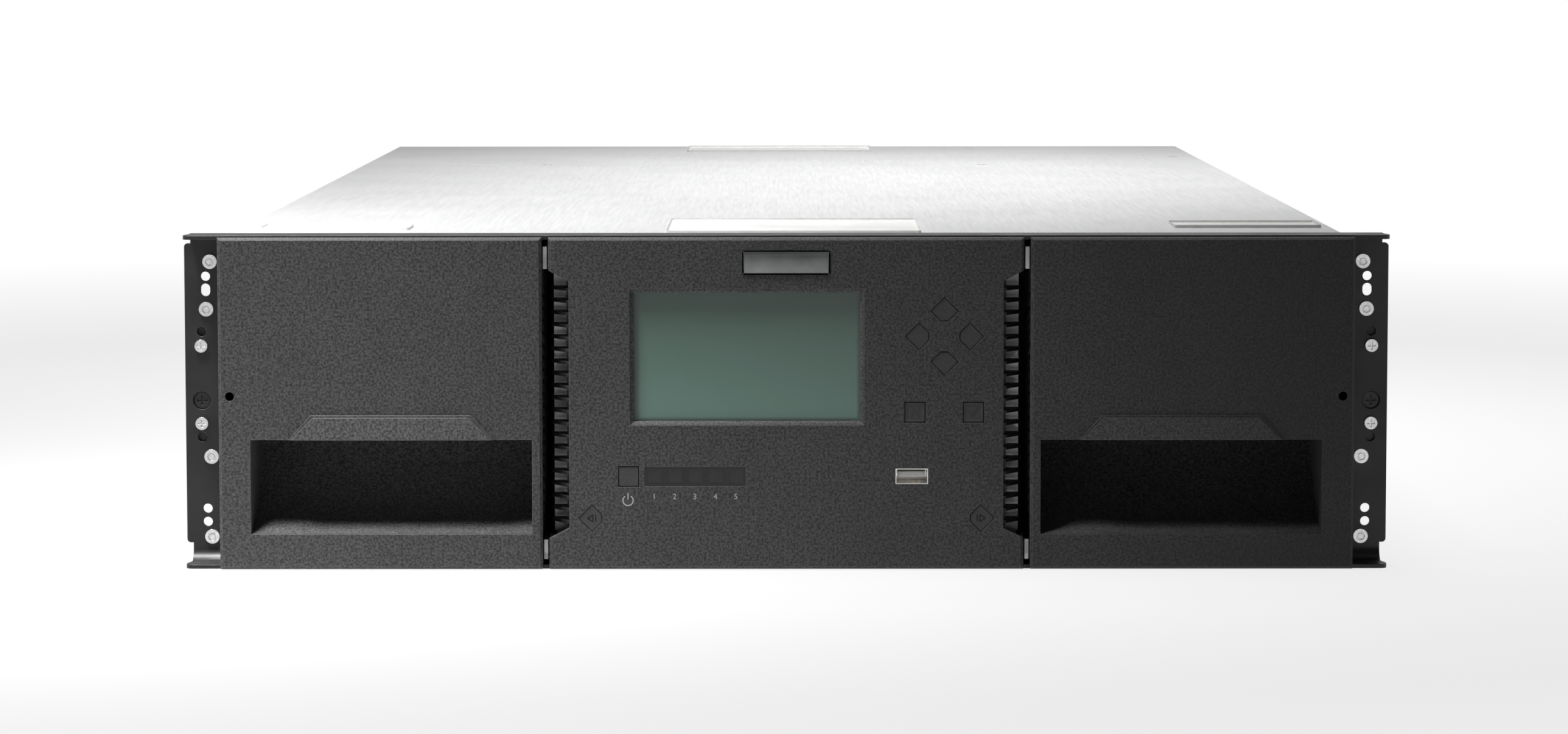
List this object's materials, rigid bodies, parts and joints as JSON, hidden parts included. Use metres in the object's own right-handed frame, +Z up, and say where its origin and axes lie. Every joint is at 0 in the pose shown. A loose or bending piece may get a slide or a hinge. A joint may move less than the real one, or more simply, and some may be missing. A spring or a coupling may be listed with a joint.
{
  "type": "data tape library",
  "caption": "Rack-mounted data tape library: pull-out cartridge magazines beside an operator panel, with a picker robot that carries tapes to the drives behind.",
  "frame": {"origin": "under the middle of the whole part, on the surface it stands on", "axes": "+X to the right seen from the front, +Y from the front to the rear, +Z up"},
  "size_m": [0.478, 0.8746, 0.132],
  "materials": {
    "black_steel": "black powder coat, satin",
    "bright_screw": "bright plated",
    "black_screw": "black oxide",
    "cover_steel": "light grey painted sheet",
    "zinc_steel": "zinc plated sheet",
    "bezel_plastic": "dark grey fine grained moulding",
    "button_plastic": "dark grey smooth moulding",
    "display_glass": "grey-green display behind clear glass",
    "status_plastic": "smoked black strip",
    "circuit_board": "green solder mask",
    "tray_plastic": "black moulding",
    "cartridge_plastic": "dark grey textured moulding",
    "guide_plastic": "natural low-friction moulding",
    "solenoid_steel": "dull plated",
    "machined_steel": "ground and polished",
    "robot_aluminium": "satin",
    "gear_plastic": "natural nylon",
    "motor_black": "black",
    "deck_plastic": "dark grey moulding",
    "gripper_plastic": "burnt orange moulding",
    "reader_plastic": "dark red window",
    "drive_steel": "dark grey sheet",
    "module_steel": "grey painted sheet",
    "fan_plastic": "black moulding",
    "socket_steel": "bright nickel"
  },
  "bodies": {
    "chassis": {"front_frame": "black_steel", "ear_rivets": "bright_screw", "ear_screws": "bright_screw", "rack_screws": "black_screw", "ear_brackets": "black_steel", "base_tray": "zinc_steel", "front_cover": "cover_steel", "rear_cover": "cover_steel", "cover_screws": "bright_screw", "rear_panel": "zinc_steel", "panel_bezel": "bezel_plastic", "display": "display_glass", "status_strip": "status_plastic", "panel_board": "circuit_board", "panel_carrier": "zinc_steel", "usb_socket": "socket_steel", "left_louvre": "tray_plastic", "right_louvre": "tray_plastic", "left_runner": "guide_plastic", "right_runner": "guide_plastic", "magazine_locks": "solenoid_steel", "robot_rails": "machined_steel", "travel_rack": "machined_steel", "drive_cage": "zinc_steel", "lower_drive": "drive_steel", "upper_drive": "drive_steel", "bay_blank": "zinc_steel", "supply_shelf": "zinc_steel", "lower_supply": "module_steel", "upper_supply": "module_steel", "controller": "module_steel"},
    "left_magazine": {"left_bezel": "bezel_plastic", "left_tray": "tray_plastic", "left_cartridges": "cartridge_plastic"},
    "right_magazine": {"right_bezel": "bezel_plastic", "right_tray": "tray_plastic", "right_cartridges": "cartridge_plastic"},
    "power_button": {"power_button": "button_plastic"},
    "cancel_button": {"cancel_button": "button_plastic"},
    "confirm_button": {"confirm_button": "button_plastic"},
    "up_button": {"up_button": "button_plastic"},
    "down_button": {"down_button": "button_plastic"},
    "left_button": {"left_button": "button_plastic"},
    "right_button": {"right_button": "button_plastic"},
    "left_release_button": {"left_release_button": "button_plastic"},
    "right_release_button": {"right_release_button": "button_plastic"},
    "robot_carriage": {"robot_carriage": "robot_aluminium", "carriage_bridge": "robot_aluminium", "lift_columns": "machined_steel", "travel_motor": "motor_black", "lift_motor": "motor_black"},
    "travel_pinion": {"travel_pinion": "gear_plastic"},
    "lift_screw": {"lift_screw": "machined_steel"},
    "lift_platform": {"lift_platform": "robot_aluminium"},
    "picker_deck": {"picker_deck": "deck_plastic", "barcode_reader": "reader_plastic"},
    "gripper": {"gripper": "gripper_plastic"},
    "lower_fan": {"lower_fan": "fan_plastic"},
    "upper_fan": {"upper_fan": "fan_plastic"}
  },
  "joints": [
    {"name": "left_magazine_slide", "type": "slide", "parent": "chassis", "child": "left_magazine", "axis": [0, -1, 0], "range_m": [0, 0.44]},
    {"name": "right_magazine_slide", "type": "slide", "parent": "chassis", "child": "right_magazine", "axis": [0, -1, 0], "range_m": [0, 0.44]},
    {"name": "power_button_press", "type": "slide", "parent": "chassis", "child": "power_button", "axis": [0, 1, 0], "range_m": [0, 0.001], "stiffness_N_per_m": 500, "springref_m": -0.001},
    {"name": "cancel_button_press", "type": "slide", "parent": "chassis", "child": "cancel_button", "axis": [0, 1, 0], "range_m": [0, 0.001], "stiffness_N_per_m": 500, "springref_m": -0.001},
    {"name": "confirm_button_press", "type": "slide", "parent": "chassis", "child": "confirm_button", "axis": [0, 1, 0], "range_m": [0, 0.001], "stiffness_N_per_m": 500, "springref_m": -0.001},
    {"name": "up_button_press", "type": "slide", "parent": "chassis", "child": "up_button", "axis": [0, 1, 0], "range_m": [0, 0.001], "stiffness_N_per_m": 500, "springref_m": -0.001},
    {"name": "down_button_press", "type": "slide", "parent": "chassis", "child": "down_button", "axis": [0, 1, 0], "range_m": [0, 0.001], "stiffness_N_per_m": 500, "springref_m": -0.001},
    {"name": "left_button_press", "type": "slide", "parent": "chassis", "child": "left_button", "axis": [0, 1, 0], "range_m": [0, 0.001], "stiffness_N_per_m": 500, "springref_m": -0.001},
    {"name": "right_button_press", "type": "slide", "parent": "chassis", "child": "right_button", "axis": [0, 1, 0], "range_m": [0, 0.001], "stiffness_N_per_m": 500, "springref_m": -0.001},
    {"name": "left_release_button_press", "type": "slide", "parent": "chassis", "child": "left_release_button", "axis": [0, 1, 0], "range_m": [0, 0.001], "stiffness_N_per_m": 500, "springref_m": -0.001},
    {"name": "right_release_button_press", "type": "slide", "parent": "chassis", "child": "right_release_button", "axis": [0, 1, 0], "range_m": [0, 0.001], "stiffness_N_per_m": 500, "springref_m": -0.001},
    {"name": "robot_travel", "type": "slide", "parent": "chassis", "child": "robot_carriage", "axis": [0, 1, 0], "range_m": [0, 0.39]},
    {"name": "pinion_spin", "type": "hinge", "parent": "robot_carriage", "child": "travel_pinion", "pos_m": [0.092, -0.2302, 0.01221], "axis": [1, 0, 0], "range_deg": [-2540, 0]},
    {"name": "picker_lift", "type": "slide", "parent": "robot_carriage", "child": "lift_platform", "axis": [0, 0, 1], "range_m": [0, 0.0981]},
    {"name": "screw_spin", "type": "hinge", "parent": "robot_carriage", "child": "lift_screw", "pos_m": [-0.084, -0.2482, 0.06], "axis": [0, 0, 1], "range_deg": [0, 1767]},
    {"name": "deck_turn", "type": "hinge", "parent": "lift_platform", "child": "picker_deck", "pos_m": [0, -0.3102, 0.003], "axis": [0, 0, 1], "range_deg": [-90, 90]},
    {"name": "gripper_reach", "type": "slide", "parent": "picker_deck", "child": "gripper", "axis": [0, 1, 0], "range_m": [0, 0.041]},
    {"name": "lower_fan_spin", "type": "hinge", "parent": "chassis", "child": "lower_fan", "pos_m": [0.182, 0.4138, 0.0312], "axis": [0, 1, 0], "continuous": true},
    {"name": "upper_fan_spin", "type": "hinge", "parent": "chassis", "child": "upper_fan", "pos_m": [0.182, 0.4138, 0.0934], "axis": [0, 1, 0], "continuous": true}
  ],
  "couplings": [
    {"joint": "pinion_spin", "follows": "robot_travel", "rad_per_m": -113.64},
    {"joint": "screw_spin", "follows": "picker_lift", "rad_per_m": 314.16}
  ]
}
